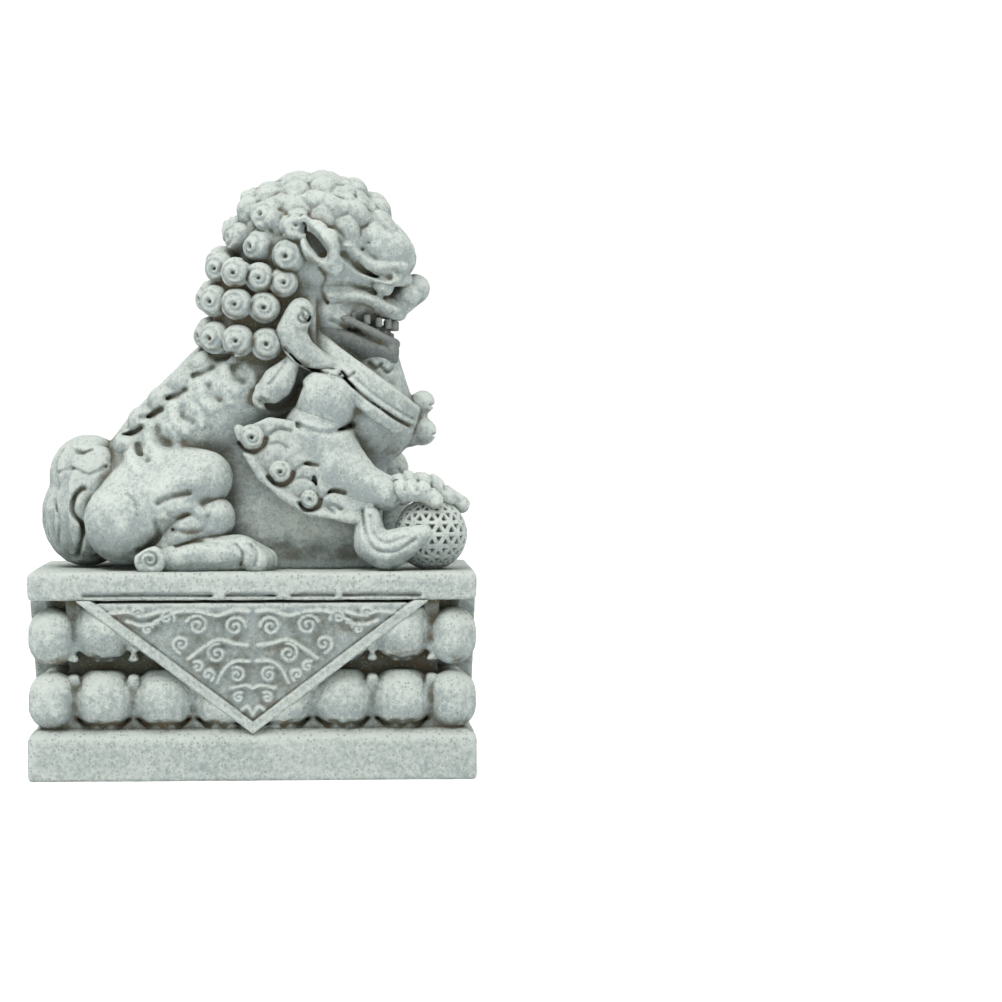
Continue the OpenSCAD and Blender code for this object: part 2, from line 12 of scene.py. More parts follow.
import bpy
import numpy as np
import openvdb as vdb
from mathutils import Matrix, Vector


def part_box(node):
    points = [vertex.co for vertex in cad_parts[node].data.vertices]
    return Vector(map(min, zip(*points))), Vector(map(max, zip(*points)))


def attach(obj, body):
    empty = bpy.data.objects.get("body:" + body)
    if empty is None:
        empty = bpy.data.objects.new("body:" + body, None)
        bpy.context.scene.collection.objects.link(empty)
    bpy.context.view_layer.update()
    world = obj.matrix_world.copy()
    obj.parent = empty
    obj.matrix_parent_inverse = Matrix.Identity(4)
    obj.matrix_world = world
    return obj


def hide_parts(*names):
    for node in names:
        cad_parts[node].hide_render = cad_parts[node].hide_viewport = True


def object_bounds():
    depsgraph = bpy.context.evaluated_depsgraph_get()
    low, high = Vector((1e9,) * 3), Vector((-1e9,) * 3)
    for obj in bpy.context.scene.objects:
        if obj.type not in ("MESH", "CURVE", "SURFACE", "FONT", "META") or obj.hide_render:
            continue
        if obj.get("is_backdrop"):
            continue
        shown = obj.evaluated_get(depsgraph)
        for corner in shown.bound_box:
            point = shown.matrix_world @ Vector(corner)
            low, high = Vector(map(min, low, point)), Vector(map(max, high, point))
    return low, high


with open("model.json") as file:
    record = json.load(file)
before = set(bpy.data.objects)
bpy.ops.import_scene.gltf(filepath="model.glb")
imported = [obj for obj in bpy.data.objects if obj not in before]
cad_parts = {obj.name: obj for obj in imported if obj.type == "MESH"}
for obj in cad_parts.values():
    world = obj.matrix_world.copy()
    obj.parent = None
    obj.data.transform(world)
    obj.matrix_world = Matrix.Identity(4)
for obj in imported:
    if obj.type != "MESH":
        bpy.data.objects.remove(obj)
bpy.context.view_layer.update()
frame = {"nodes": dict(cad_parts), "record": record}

MM = 1000.0           # the fields are in millimetres, and the pieces in metres
BAND = 4.5            # how far from a surface a distance is kept, in mm
OVERLAP = 0.7         # how far a piece runs under its neighbour, in mm
LION_STEP = 0.75
BASE_STEP = 1.0
DRAPE_STEP = 0.5
BALL_STEP = 0.45


# ---- Where the CAD puts things ----

def low_mm(node):
    return np.array(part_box(node)[0]) * MM


def high_mm(node):
    return np.array(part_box(node)[1]) * MM


def middle_mm(node):
    return 0.5 * (low_mm(node) + high_mm(node))


slab_top = high_mm("top_slab")[2]
BALL_AT = middle_mm("brocade_ball")
BALL_R = 0.5 * (high_mm("brocade_ball")[0] - low_mm("brocade_ball")[0])


def mesh_arrays(node):
    """The points of a CAD node in mm, and its triangles."""
    mesh = frame["nodes"][node].data
    mesh.calc_loop_triangles()
    points = np.empty(3 * len(mesh.vertices), np.float32)
    mesh.vertices.foreach_get("co", points)
    corners = np.empty(3 * len(mesh.loop_triangles), np.int32)
    mesh.loop_triangles.foreach_get("vertices", corners)
    return points.reshape(-1, 3) * MM, corners.reshape(-1, 3).astype(np.uint32)


def islands(node):
    """The lowest and highest corners of each separate solid in a CAD node, in mm."""
    points, triangles = mesh_arrays(node)
    keys, label = np.unique(np.round(points, 2), axis=0, return_inverse=True)
    label = label.ravel()
    parent = np.arange(len(keys))
    corners = label[triangles.astype(np.int64)]
    for _ in range(60):
        lowest = parent[corners].min(axis=1)
        before = parent.copy()
        for k in range(3):
            np.minimum.at(parent, corners[:, k], lowest)
        parent = parent[parent]
        if np.array_equal(before, parent):
            break
    found = []
    for root in np.unique(parent):
        own = keys[parent == root]
        found.append((own.min(axis=0), own.max(axis=0)))
    return found


# ---- Fields on a grid ----

class Grid:
    """A box of voxels. Voxel [0, 0, 0] is at index `first`, and an index times step is a place in mm."""

    def __init__(self, low, high, step):
        self.step = step
        self.first = np.floor(np.array(low) / step).astype(int)
        self.shape = tuple(np.ceil(np.array(high) / step).astype(int) - self.first + 1)

    def region(self, low, high, pad=0.0):
        """The slices that cover the box from low to high in mm."""
        a = np.floor((np.array(low) - pad) / self.step).astype(int) - self.first
        b = np.ceil((np.array(high) + pad) / self.step).astype(int) - self.first + 1
        a = np.clip(a, 0, np.array(self.shape) - 1)
        b = np.clip(b, 1, np.array(self.shape))
        return tuple(slice(int(p), int(q)) for p, q in zip(a, b))

    def places(self, region):
        """x, y and z in mm over a region, shaped to broadcast."""
        axes = [
            (np.arange(s.start, s.stop) + self.first[k]).astype(np.float32) * self.step
            for k, s in enumerate(region)
        ]
        return axes[0][:, None, None], axes[1][None, :, None], axes[2][None, None, :]

    def full(self, value, kind=np.float32):
        return np.full(self.shape, value, kind)


def smooth_min(a, b, k):
    """The smaller of two distances, rounded over a width k where they are close."""
    h = np.clip(0.5 + 0.5 * (b - a) / k, 0.0, 1.0)
    return b + (a - b) * h - k * h * (1.0 - h)


def blur(field, passes):
    """Repeated averaging with the nearest neighbours, along each axis."""
    for _ in range(passes):
        for axis in range(3):
            f = np.moveaxis(field, axis, 0)
            out = np.empty_like(f)
            out[1:-1] = 0.25 * (f[:-2] + f[2:]) + 0.5 * f[1:-1]
            out[0] = f[0]
            out[-1] = f[-1]
            field = np.moveaxis(out, 0, axis)
    return np.ascontiguousarray(field)


def node_field(node, grid):
    """The signed distance to a CAD node, over the region around it."""
    points, triangles = mesh_arrays(node)
    level_set = vdb.FloatGrid.createLevelSetFromPolygons(
        points, triangles=triangles,
        transform=vdb.createLinearTransform(grid.step), halfWidth=BAND / grid.step,
    )
    region = grid.region(points.min(axis=0), points.max(axis=0), BAND + 2 * grid.step)
    values = np.empty([s.stop - s.start for s in region], np.float32)
    corner = [int(s.start + grid.first[k]) for k, s in enumerate(region)]
    level_set.copyToArray(values, ijk=corner)
    return region, values


class Carving:
    """The blended field of several CAD nodes, which remembers whose stone each voxel is."""

    def __init__(self, grid, nodes):
        self.grid = grid
        self.solid = grid.full(BAND)
        self.first = grid.full(BAND)
        self.second = grid.full(BAND)
        self.owner = grid.full(255, np.uint8)
        self.own = {}
        self.order = []
        for node, blend, passes, *grow in nodes:
            self.add(node, blend, passes, sum(grow))

    def add(self, node, blend, passes, grow):
        region, d = node_field(node, self.grid)
        if passes:
            d = blur(d, passes)
        d -= grow
        self.own[node] = (region, d)
        self.order.append(node)
        self.solid[region] = smooth_min(self.solid[region], d, blend)
        first, second = self.first[region], self.second[region]
        closer = d < first
        self.second[region] = np.where(closer, first, np.minimum(second, d))
        self.owner[region][closer] = len(self.order) - 1
        self.first[region] = np.minimum(first, d)

    def share(self, node):
        """The node's part of the stone: a closed field that dips under its neighbours at its edges."""
        region, d = self.own[node]
        mine = self.owner[region] == self.order.index(node)
        other = np.where(mine, self.second[region], self.first[region])
        ahead = d - other
        return region, np.maximum(
            self.solid[region] + 0.5 * np.clip(ahead, 0, None), 0.5 * ahead - OVERLAP
        )


def soft_noise(grid, size, seed):
    """Smooth random values over the whole grid, with features about `size` mm across."""
    random = np.random.default_rng(seed)
    weights = []
    for count in grid.shape:
        knots = max(4, int(count * grid.step / size) + 4)
        at = np.arange(count) * grid.step / size + 1.0
        w = np.abs(at[:, None] - np.arange(knots)[None, :])
        w = np.where(w < 1, 2 / 3 - w ** 2 + 0.5 * w ** 3, np.where(w < 2, (2 - w) ** 3 / 6, 0))
        weights.append(w.astype(np.float32))
    coarse = random.uniform(-1, 1, [w.shape[1] for w in weights]).astype(np.float32)
    for axis, w in enumerate(weights):
        coarse = np.moveaxis(np.tensordot(w, coarse, axes=(1, axis)), 0, axis)
    return coarse


# ---- Chisels ----

def fade(distance, width):
    """1 on a line, and smoothly down to 0 at that width from it."""
    return np.clip(1.0 - (distance / width) ** 2, 0.0, 1.0) ** 2


def step_up(value, low, high):
    t = np.clip((value - low) / (high - low), 0.0, 1.0)
    return t * t * (3.0 - 2.0 * t)


def curve_through(points, steps=6):
    """A smooth line through the points."""
    p = np.array(points, float)
    p = np.vstack([2 * p[0] - p[1], p, 2 * p[-1] - p[-2]])
    t = np.arange(steps)[:, None] / steps
    parts = []
    for a, b, c, d in zip(p[:-3], p[1:-2], p[2:-1], p[3:]):
        parts.append(0.5 * (2 * b + (c - a) * t + (2 * a - 5 * b + 4 * c - d) * t ** 2
                            + (3 * b - a - 3 * c + d) * t ** 3))
    return np.vstack(parts + [p[-2:-1]])


def spiral_line(centre, radius, turns, start, hand):
    """A scroll that winds in to its centre. `start` is in degrees and `hand` is 1 or -1."""
    t = np.linspace(0, 1, int(14 * turns) + 2)
    angle = math.radians(start) + hand * t * turns * 2 * math.pi
    r = radius * (1 - 0.86 * t)
    return np.stack([centre[0] + r * np.cos(angle), centre[1] + r * np.sin(angle)], axis=1)


class Relief:
    """Depths over one flat view of the stone, in mm. Cuts are positive, and ridges are negative."""

    def __init__(self, grid, across):
        self.across = across
        corners = [(grid.first + k * np.array(grid.shape)) * grid.step for k in (0, 1)]
        places = grid.places(grid.region(*corners))
        self.a = places[across].ravel()
        self.z = places[2].ravel()
        self.cut = np.zeros((len(self.a), len(self.z)), np.float32)
        self.rise = np.zeros_like(self.cut)

    def window(self, low, high):
        i, j = np.searchsorted(self.a, (low[0], high[0]))
        k, m = np.searchsorted(self.z, (low[1], high[1]))
        return slice(i, j), slice(k, m)

    def line(self, line, width, depth):
        """A groove of this depth along a line, or a ridge where the depth is negative."""
        into = self.cut if depth > 0 else self.rise
        for p, q in zip(line[:-1], line[1:]):
            w = self.window(np.minimum(p, q) - width, np.maximum(p, q) + width)
            a = self.a[w[0]][:, None]
            z = self.z[w[1]][None, :]
            along = q - p
            t = ((a - p[0]) * along[0] + (z - p[1]) * along[1]) / max(along @ along, 1e-6)
            t = np.clip(t, 0, 1)
            d = np.hypot(a - p[0] - t * along[0], z - p[1] - t * along[1])
            into[w] = np.maximum(into[w], abs(depth) * fade(d, width))

    def stroke(self, points, width, depth):
        self.line(curve_through(points), width, depth)

    def pit(self, place, radius, depth):
        self.line(np.array([place, place], float), radius, depth)

    def scroll(self, centre, radius, turns, start, hand, width, depth):
        self.line(spiral_line(centre, radius, turns, start, hand), width, depth)

    def press(self, carving, weight):
        """Cuts this relief into the stone. `weight` runs along the way that the view looks."""
        depth = self.cut - self.rise
        if self.across == 0:
            carving.solid += depth[:, None, :] * weight[None, :, None]
        else:
            carving.solid += depth[None, :, :] * weight[:, None, None]


def snail(carving, low, high, facing, depth, hand):
    """Winds a groove round the dome in a box, and drills its middle."""
    grid = carving.grid
    centre = 0.5 * (low + high)
    radius = 0.5 * (high[2] - low[2])
    n = np.array(facing, float) / np.linalg.norm(facing)
    e1 = np.cross((0, 0, 1), n)
    e1 /= np.linalg.norm(e1)
    e2 = np.cross(n, e1)
    region = grid.region(low, high, 1.5)
    x, y, z = grid.places(region)
    x, y, z = x - centre[0], y - centre[1], z - centre[2]
    front = x * n[0] + y * n[1] + z * n[2]
    u = hand * (x * e1[0] + y * e1[1] + z * e1[2])
    v = x * e2[0] + y * e2[1] + z * e2[2]
    rho = np.hypot(u, v)
    pitch = 0.52 * radius
    turn = rho / pitch - np.arctan2(v, u) / (2 * math.pi)
    off = np.abs(turn - np.round(turn)) * pitch
    facing_out = step_up(front, -0.2 * radius, 0.15 * radius)
    reach = facing_out * (1 - step_up(rho, 0.85 * radius, 1.05 * radius))
    groove = depth * fade(off, 0.2 * radius) * reach
    hole = 3.4 * depth * fade(rho, 0.28 * radius) * (front > 0)
    carving.solid[region] += np.maximum(groove, hole)


# ---- Cavities, for the stains, the painted shade and the lighter raised edges ----

def box_mean(field, reach):
    """The mean over a cube that reaches that many voxels each way."""
    for axis in range(3):
        f = np.moveaxis(field, axis, 0)
        pad = np.concatenate([np.repeat(f[:1], reach + 1, 0), f, np.repeat(f[-1:], reach, 0)])
        total = np.cumsum(pad, axis=0, dtype=np.float64)
        f = ((total[2 * reach + 1:] - total[:-2 * reach - 1]) / (2 * reach + 1)).astype(np.float32)
        field = np.moveaxis(f, 0, axis)
    return field


def enclosure(carving, reach_mm):
    """How much of the space nearby is stone, on a grid of half the resolution."""
    stone = (carving.solid[::2, ::2, ::2] < 0).astype(np.float32)
    reach = max(1, int(round(reach_mm / (2 * carving.grid.step))))
    return box_mean(box_mean(stone, reach), reach)


def sample(field, grid, points, stride):
    """A field's values at points in mm, by linear interpolation."""
    at = (points / grid.step - grid.first) / stride
    at = np.clip(at, 0, np.array(field.shape) - 1.001)
    base = np.floor(at).astype(int)
    f = (at - base).astype(np.float32)
    total = np.zeros(len(points), np.float32)
    for i in (0, 1):
        for j in (0, 1):
            for k in (0, 1):
                weight = (
                    (f[:, 0] if i else 1 - f[:, 0])
                    * (f[:, 1] if j else 1 - f[:, 1])
                    * (f[:, 2] if k else 1 - f[:, 2])
                )
                total += weight * field[base[:, 0] + i, base[:, 1] + j, base[:, 2] + k]
    return total


# ---- Pieces ----

def make_piece(name, node, carving, hollows, material):
    """One sculpted piece, in place of one CAD node."""
    region, field = carving.share(node)
    grid = carving.grid
    level_set = vdb.FloatGrid()
    level_set.background = BAND
    level_set.transform = vdb.createLinearTransform(grid.step)
    level_set.copyFromArray(
        field, ijk=[int(s.start + grid.first[k]) for k, s in enumerate(region)]
    )
    points, quads = level_set.convertToQuads(0.0)
    mesh = bpy.data.meshes.new(name)
    mesh.vertices.add(len(points))
    mesh.vertices.foreach_set("co", (points / MM).astype(np.float32).ravel())
    mesh.loops.add(4 * len(quads))
    mesh.loops.foreach_set("vertex_index", quads[:, ::-1].astype(np.int32).ravel())
    mesh.polygons.add(len(quads))
    mesh.polygons.foreach_set("loop_start", np.arange(0, 4 * len(quads), 4, dtype=np.int32))
    mesh.polygons.foreach_set("use_smooth", np.ones(len(quads), bool))
    mesh.update(calc_edges=True)
    near = sample(hollows[0], grid, points, 2)
    wide = sample(hollows[1], grid, points, 2)
    for key, values in (("near", near), ("wide", wide)):
        layer = mesh.attributes.new(key, "FLOAT", "POINT")
        layer.data.foreach_set("value", values.astype(np.float32))
    piece = bpy.data.objects.new(name, mesh)
    bpy.context.scene.collection.objects.link(piece)
    mesh.materials.append(material)
    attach(piece, "root")
    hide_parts(node)
    return piece


SLOT = {s["node"]: s["material_slot"] for s in frame["record"]["subparts"]}


# ---- Stone ----

class Nodes:
    """A short way to write a material's nodes."""

    def __init__(self, tree):
        self.tree = tree

    def add(self, kind, **inputs):
        node = self.tree.nodes.new(kind)
        for key, value in inputs.items():
            self.feed(node, key.replace("_", " "), value)
        return node

    def feed(self, node, key, value):
        socket = node.inputs[int(key) if key.isdigit() else key]
        if isinstance(value, bpy.types.NodeSocket):
            self.tree.links.new(value, socket)
        else:
            socket.default_value = value

    def noise(self, place, size_mm, detail, rough=0.55):
        node = self.add(
            "ShaderNodeTexNoise", Vector=place, Scale=MM / size_mm, Detail=detail, Roughness=rough
        )
        return node.outputs["Fac"]

    def grains(self, place, size_mm):
        """The distance from the middle of each grain, and a value of the grain's own."""
        node = self.add("ShaderNodeTexVoronoi", Vector=place, Scale=MM / size_mm)
        apart = self.add("ShaderNodeSeparateColor", Color=node.outputs["Color"])
        return node.outputs["Distance"], apart.outputs["Red"]

    def ramp(self, value, low, high, to_low=0.0, to_high=1.0):
        node = self.tree.nodes.new("ShaderNodeMapRange")
        node.interpolation_type = "SMOOTHSTEP"
        limits = {"From Min": low, "From Max": high, "To Min": to_low, "To Max": to_high}
        for key, number in limits.items():
            node.inputs[key].default_value = number
        self.tree.links.new(value, node.inputs["Value"])
        return node.outputs["Result"]

    def math(self, kind, a, b):
        node = self.tree.nodes.new("ShaderNodeMath")
        node.operation = kind
        self.feed(node, "0", a)
        self.feed(node, "1", b)
        return node.outputs["Value"]

    def mix(self, share, a, b):
        node = self.tree.nodes.new("ShaderNodeMix")
        node.data_type = "RGBA"
        self.feed(node, "0", share)
        self.feed(node, "6", a)
        self.feed(node, "7", b)
        return node.outputs[2]


# The stone of each slot: how pale it is, how strongly it is flecked, and how much stain and painted shade
# it gets in its grooves and under its overhangs
LOOKS = {
    "pedestal_stone": (0.96, 1.2, 0.7),
    "lotus_stone": (1.0, 1.1, 1.5),
    "drape_stone": (0.92, 1.0, 1.0),
    "body_stone": (1.0, 1.0, 1.0),
    "hair_stone": (0.90, 0.9, 1.1),
    "head_stone": (1.0, 0.9, 1.0),
    # The mouth's stone is painted much darker, as the shade inside the open mouth
    "mouth_stone": (0.42, 0.8, 1.5),
    "ornament_stone": (0.98, 0.9, 1.0),
}
PALE = (0.63, 0.685, 0.635)
MIDDLE = (0.315, 0.370, 0.366)
SHADED = (0.096, 0.106, 0.088)
OLIVE = (0.092, 0.096, 0.062)
BROWN = (0.118, 0.096, 0.060)
DARK_GRAIN = (0.13, 0.148, 0.138)
LIGHT_GRAIN = (0.68, 0.72, 0.69)


def granite(name):
    """Pale grey-green granite, with painted top light and some dust on its upper faces, and stains with
    painted shade in its hollows and under its overhangs.
    """
    tone, fleck, grime_and_shade_level = LOOKS[name]
    material = bpy.data.materials.new(name)
    material.use_nodes = True
    n = Nodes(material.node_tree)
    shader = material.node_tree.nodes["Principled BSDF"]
    place = n.add("ShaderNodeTexCoord").outputs["Object"]
    normal = n.add("ShaderNodeSeparateXYZ", Vector=n.add("ShaderNodeNewGeometry").outputs["Normal"])
    near = n.add("ShaderNodeAttribute")
    near.attribute_name = "near"
    wide = n.add("ShaderNodeAttribute")
    wide.attribute_name = "wide"

    def tinted(color, k=tone):
        return (color[0] * k, color[1] * k, color[2] * k, 1)

    patches = n.noise(place, 24, 4)
    blotches = n.noise(place, 6.5, 4)
    mottle = n.noise(place, 2.4, 4, 0.7)
    grain_distance, grain_own = n.grains(place, 1.5)

    # Painted top light, with some dust, where it faces up; lighter too where it stands out
    up = n.ramp(normal.outputs["Z"], -0.55, 0.85)
    out = n.ramp(near.outputs["Fac"], 0.34, 0.52, 1.0, 0.0)
    pale = n.math("ADD", n.math("MULTIPLY", up, 0.75), n.math("MULTIPLY", out, 0.45))
    variation = ((patches, 0.45), (blotches, 0.45), (mottle, 1.6), (grain_own, 0.34 * fleck))
    for field, strength in variation:
        pale = n.math("ADD", pale, n.math("MULTIPLY", n.math("SUBTRACT", field, 0.5), strength))
    color = n.mix(n.ramp(pale, -0.05, 1.05), tinted(MIDDLE), tinted(PALE))

    # Painted shade: darker where the space round it is closed in
    uneven = n.math("SUBTRACT", blotches, 0.5)
    closed = n.math("ADD", wide.outputs["Fac"], n.math("MULTIPLY", uneven, 0.20))
    color = n.mix(n.ramp(closed, 0.47, 0.72, 0.0, 0.88), color, tinted(SHADED))

    # Olive and brown stains in the grooves and hollows, mixed with painted shade there
    groove = n.math("ADD", near.outputs["Fac"], n.math("MULTIPLY", uneven, 0.24))
    grime_and_shade_colour = n.mix(n.ramp(patches, 0.44, 0.62), (*OLIVE, 1), (*BROWN, 1))
    color = n.mix(n.ramp(groove, 0.53, 0.70, 0.0, min(0.95, 0.85 * grime_and_shade_level)), color, grime_and_shade_colour)
    # Painted shade under the overhangs, in the stain colours, broken up by blotches
    under = n.ramp(normal.outputs["Z"], -0.25, -0.90)
    underside_shade_and_grime = n.math("MULTIPLY", under, n.ramp(blotches, 0.38, 0.64, 0.0, 0.62 * grime_and_shade_level))
    color = n.mix(underside_shade_and_grime, color, grime_and_shade_colour)

    # Dark and white grains of the granite
    dark_core = n.ramp(grain_distance, 0.70, 0.20, 0.0, 0.42 * fleck)
    dark = n.math("MULTIPLY", n.ramp(grain_own, 0.70, 0.88), dark_core)
    color = n.mix(dark, color, (*DARK_GRAIN, 1))
    distance, own = n.grains(place, 1.1)
    light_core = n.ramp(distance, 0.55, 0.20, 0.0, 0.15 * fleck)
    light = n.math("MULTIPLY", n.ramp(own, 0.70, 0.86), light_core)
    color = n.mix(light, color, (*LIGHT_GRAIN, 1))

    material.node_tree.links.new(color, shader.inputs["Base Color"])
    material.node_tree.links.new(n.ramp(mottle, 0.2, 0.8, 0.80, 0.98), shader.inputs["Roughness"])
    shader.inputs["Specular IOR Level"].default_value = 0.2

    pits = n.noise(place, 0.9, 4, 0.7)
    rough = n.math("ADD", n.math("MULTIPLY", pits, 0.5), n.math("MULTIPLY", mottle, 1.2))
    bump = n.add("ShaderNodeBump", Height=rough, Distance=0.0011 * fleck, Strength=1.0)
    material.node_tree.links.new(bump.outputs["Normal"], shader.inputs["Normal"])
    return material


MATERIALS = {slot: granite(slot) for slot in sorted(set(SLOT.values()))}


def make_pieces(carving):
    hollows = (enclosure(carving, 2.2), enclosure(carving, 7.0))
    for node in carving.order:
        make_piece(node + "_stone", node, carving, hollows, MATERIALS[SLOT[node]])


# ---- The lion ----

# CAD node, width of its blend into its neighbours, passes of smoothing, growth in mm
BODY = [("torso", 5.0, 6), ("chest", 6.0, 10), ("tail", 2.0, 4), ("spine_knobs", 3.0, 1, 0.8)]
for side in ("right", "left"):
    BODY += [
        ("thigh_" + side, 3.0, 6), ("shin_" + side, 2.0, 4), ("hind_foot_" + side, 1.2, 2, 1.5),
        ("shoulder_" + side, 3.0, 5), ("foreleg_" + side, 3.0, 5), ("forepaw_" + side, 1.2, 2),
        ("leg_fringe_" + side, 2.0, 2), ("fringe_curls_" + side, 0.8, 0),
        ("flame_curl_" + side, 1.5, 3), ("ear_" + side, 1.2, 1, 0.6), ("brow_" + side, 3.0, 3, 0.6),
        ("beard_roll_" + side, 1.2, 3),
    ]
BODY += [
    ("collar", 3.0, 3, 0.8), ("collar_bells", 2.4, 1, 0.9), ("ball_ribbon", 1.2, 3, 1.5),
    ("skull", 3.0, 5),
    ("eyes", 0.7, 0), ("nose", 3.0, 3, 1.4), ("upper_jaw", 1.5, 2), ("lower_jaw", 1.5, 2),
    ("upper_teeth", 0.6, 0), ("lower_teeth", 0.6, 0), ("tongue", 1.0, 2), ("mane_core", 2.0, 4, 1.2),
    ("crown_curls", 6.0, 3, 0.2),
]
BODY += [("mane_row_%d" % row, 1.0, 0, 1.9 if row < 4 else 1.1) for row in range(1, 6)]

lion_nodes = [entry[0] for entry in BODY]
lion_low = np.min([low_mm(n) for n in lion_nodes], axis=0) - BAND
lion_high = np.max([high_mm(n) for n in lion_nodes], axis=0) + BAND
lion = Carving(Grid(lion_low, lion_high, LION_STEP), BODY)

# Snail curls: which way each faces, from the middle of the hair
MANE_MIDDLE = middle_mm("mane_core")
CROWN_MIDDLE = np.array([MANE_MIDDLE[0] + 6, 0, slab_top + 160])
for row in range(1, 6):
    node = "mane_row_%d" % row
    for k, (low, high) in enumerate(islands(node)):
        centre = 0.5 * (low + high)
        facing = centre - (CROWN_MIDDLE if row > 3 else (centre[0] * 0.5 + 4, 0, centre[2] + 2))
        snail(lion, low - 1.2, high + 1.2, facing, 0.95, 1 if centre[1] < 0 else -1)


def hair_lumps(carving, middle, radii, spacing, height):
    """Rounds a dome of hair into close-set lumps, with a crease between each pair."""
    grid = carving.grid
    radii = np.array(radii)
    count = int(2 * math.pi * radii.mean() ** 2 / spacing ** 2)
    k = np.arange(count) + 0.5
    up = 1 - k / count
    turn = k * math.pi * (3 - math.sqrt(5))
    flat = np.sqrt(1 - up ** 2)
    places = middle + radii * np.stack([flat * np.cos(turn), flat * np.sin(turn), up], axis=1)
    region = grid.region(middle - (radii[0], radii[1], 0), middle + radii, 5)
    x, y, z = grid.places(region)
    shape = np.broadcast_shapes(x.shape, y.shape, z.shape)
    first = np.full(shape, 1e6, np.float32)
    second = first.copy()
    for px, py, pz in places:
        d = (x - px) ** 2 + (y - py) ** 2 + (z - pz) ** 2
        second = np.minimum(second, np.maximum(first, d))
        first = np.minimum(first, d)
    first, second = np.sqrt(first), np.sqrt(second)
    reach = step_up(z, middle[2] + 2, middle[2] + 9)
    lumps = height * fade(first, 0.72 * spacing)
    crease = 0.6 * fade(second - first, 0.26 * spacing)
    hole = 1.3 * fade(first, 1.3)
    carving.solid[region] += reach * (crease + hole - lumps)


hair_lumps(lion, CROWN_MIDDLE, (40, 36.5, 38), 11.0, 1.0)
for side, way in (("right", -1), ("left", 1)):
    for low, high in islands("fringe_curls_" + side):
        snail(lion, low, high, (0, way, 0.001), 1.4, -way)


def lion_line(points):
    """Points given as x and height over the slab."""
    return [(x, z + slab_top) for x, z in points]


flank = Relief(lion.grid, 0)

# Locks of hair down the back: a slot behind each knob, a groove below it and two raised locks
SPINE_SLOTS = [(-13, 107), (-25, 98.4), (-38.5, 87.2), (-51, 77.5), (-60.5, 68.6)]
for x, z in SPINE_SLOTS:
    flank.stroke(lion_line([(x - 5, z - 2), (x, z - 0.8), (x + 4.5, z + 2.2)]), 2.4, 1.7)
    flank.stroke(lion_line([(x + 3, z - 7), (x + 4, z - 11), (x + 8, z - 14)]), 2.6, 1.2)
    flank.stroke(lion_line([(x + 9, z - 6), (x + 12, z - 10), (x + 13, z - 15)]), 3.6, -1.0)
    flank.stroke(lion_line([(x - 2, z - 6), (x - 1, z - 14), (x + 4, z - 19)]), 4.2, -1.2)

# Haunch: the groove that parts it from the tail, a hook at its top and the lock on the thigh
flank.stroke(lion_line([(-85.5, 40), (-89, 36), (-90, 28.5), (-85.5, 22), (-86, 14), (-89, 6)]), 2.2, 2.6)
flank.pit((-84.5, 40 + slab_top), 2.2, 2.4)
flank.stroke(lion_line([(-92, 60), (-86, 57.5), (-81, 59)]), 1.6, 1.1)
flank.stroke(lion_line([(-98, 48), (-90, 50), (-82, 47), (-74, 51)]), 1.6, 1.0)
flank.stroke(lion_line([(-100, 34), (-97, 24), (-98, 12)]), 1.5, 1.1)
flank.stroke(lion_line([(-46.5, 33.6), (-40, 36.6), (-31.5, 38.6)]), 2.6, 1.9)
flank.stroke(lion_line([(-50, 40), (-40, 44), (-28, 44)]), 6.0, -1.2)
flank.stroke(lion_line([(-44, 28), (-36, 31), (-28, 31)]), 4.5, -1.5)
flank.stroke(lion_line([(-70, 34), (-66, 22), (-68, 12)]), 7.0, -1.0)
flank.stroke(lion_line([(-62, 38), (-58, 34), (-57, 28)]), 1.8, 0.9)
flank.stroke(lion_line([(-44, 30), (-38, 27), (-31, 28), (-26, 24)]), 2.4, 0.9)
flank.stroke(lion_line([(-48, 24), (-47, 17), (-53, 11.5), (-57, 10)]), 2.4, 1.6)
flank.stroke(lion_line([(-22, 27), (-24, 21), (-31, 19), (-39, 20)]), 2.2, 1.1)

# Toes, and the curl at the heel
HEEL = (-50.5, 5.6 + slab_top)
flank.scroll(HEEL, 5.0, 1.5, 200, -1, 1.0, 1.4)
flank.pit(HEEL, 1.4, 2.0)
for x in (-6, 1):
    flank.stroke(lion_line([(x - 2, 13), (x + 1, 8.5), (x, 3)]), 1.3, 1.4)
flank.stroke(lion_line([(-38, 12), (-28, 14.5), (-18, 13)]), 1.5, 0.9)

# Shoulder and foreleg: the hollow under each curl of the tuft, and the strands that run in from it
for low, high in islands("fringe_curls_right"):
    x, z = 0.5 * (low + high)[[0, 2]]
    r = 0.5 * (high[0] - low[0]) + 0.8
    arc = [(x + r * math.cos(a), z + r * math.sin(a)) for a in np.radians([205, 245, 285, 325, 355])]
    flank.stroke(arc, 1.9, 2.6)
    flank.stroke([(x + r + 1, z + 1), (x + r + 6, z + 4), (x + r + 12, z + 3)], 1.6, 1.2)
    flank.stroke([(x + r, z - 4), (x + r + 5, z - 3), (x + r + 10, z - 5)], 1.4, 1.0)
flank.stroke(lion_line([(40, 28), (33, 36), (30, 46)]), 1.6, 1.0)
flank.stroke(lion_line([(4, 84), (11, 80.5), (19, 84), (23, 91)]), 3.0, 3.0)
flank.stroke(lion_line([(8, 92), (12, 97), (16, 103)]), 1.4, 1.0)
flank.stroke(lion_line([(22, 72), (30, 69), (40, 68.5), (49, 72)]), 2.4, 1.1)

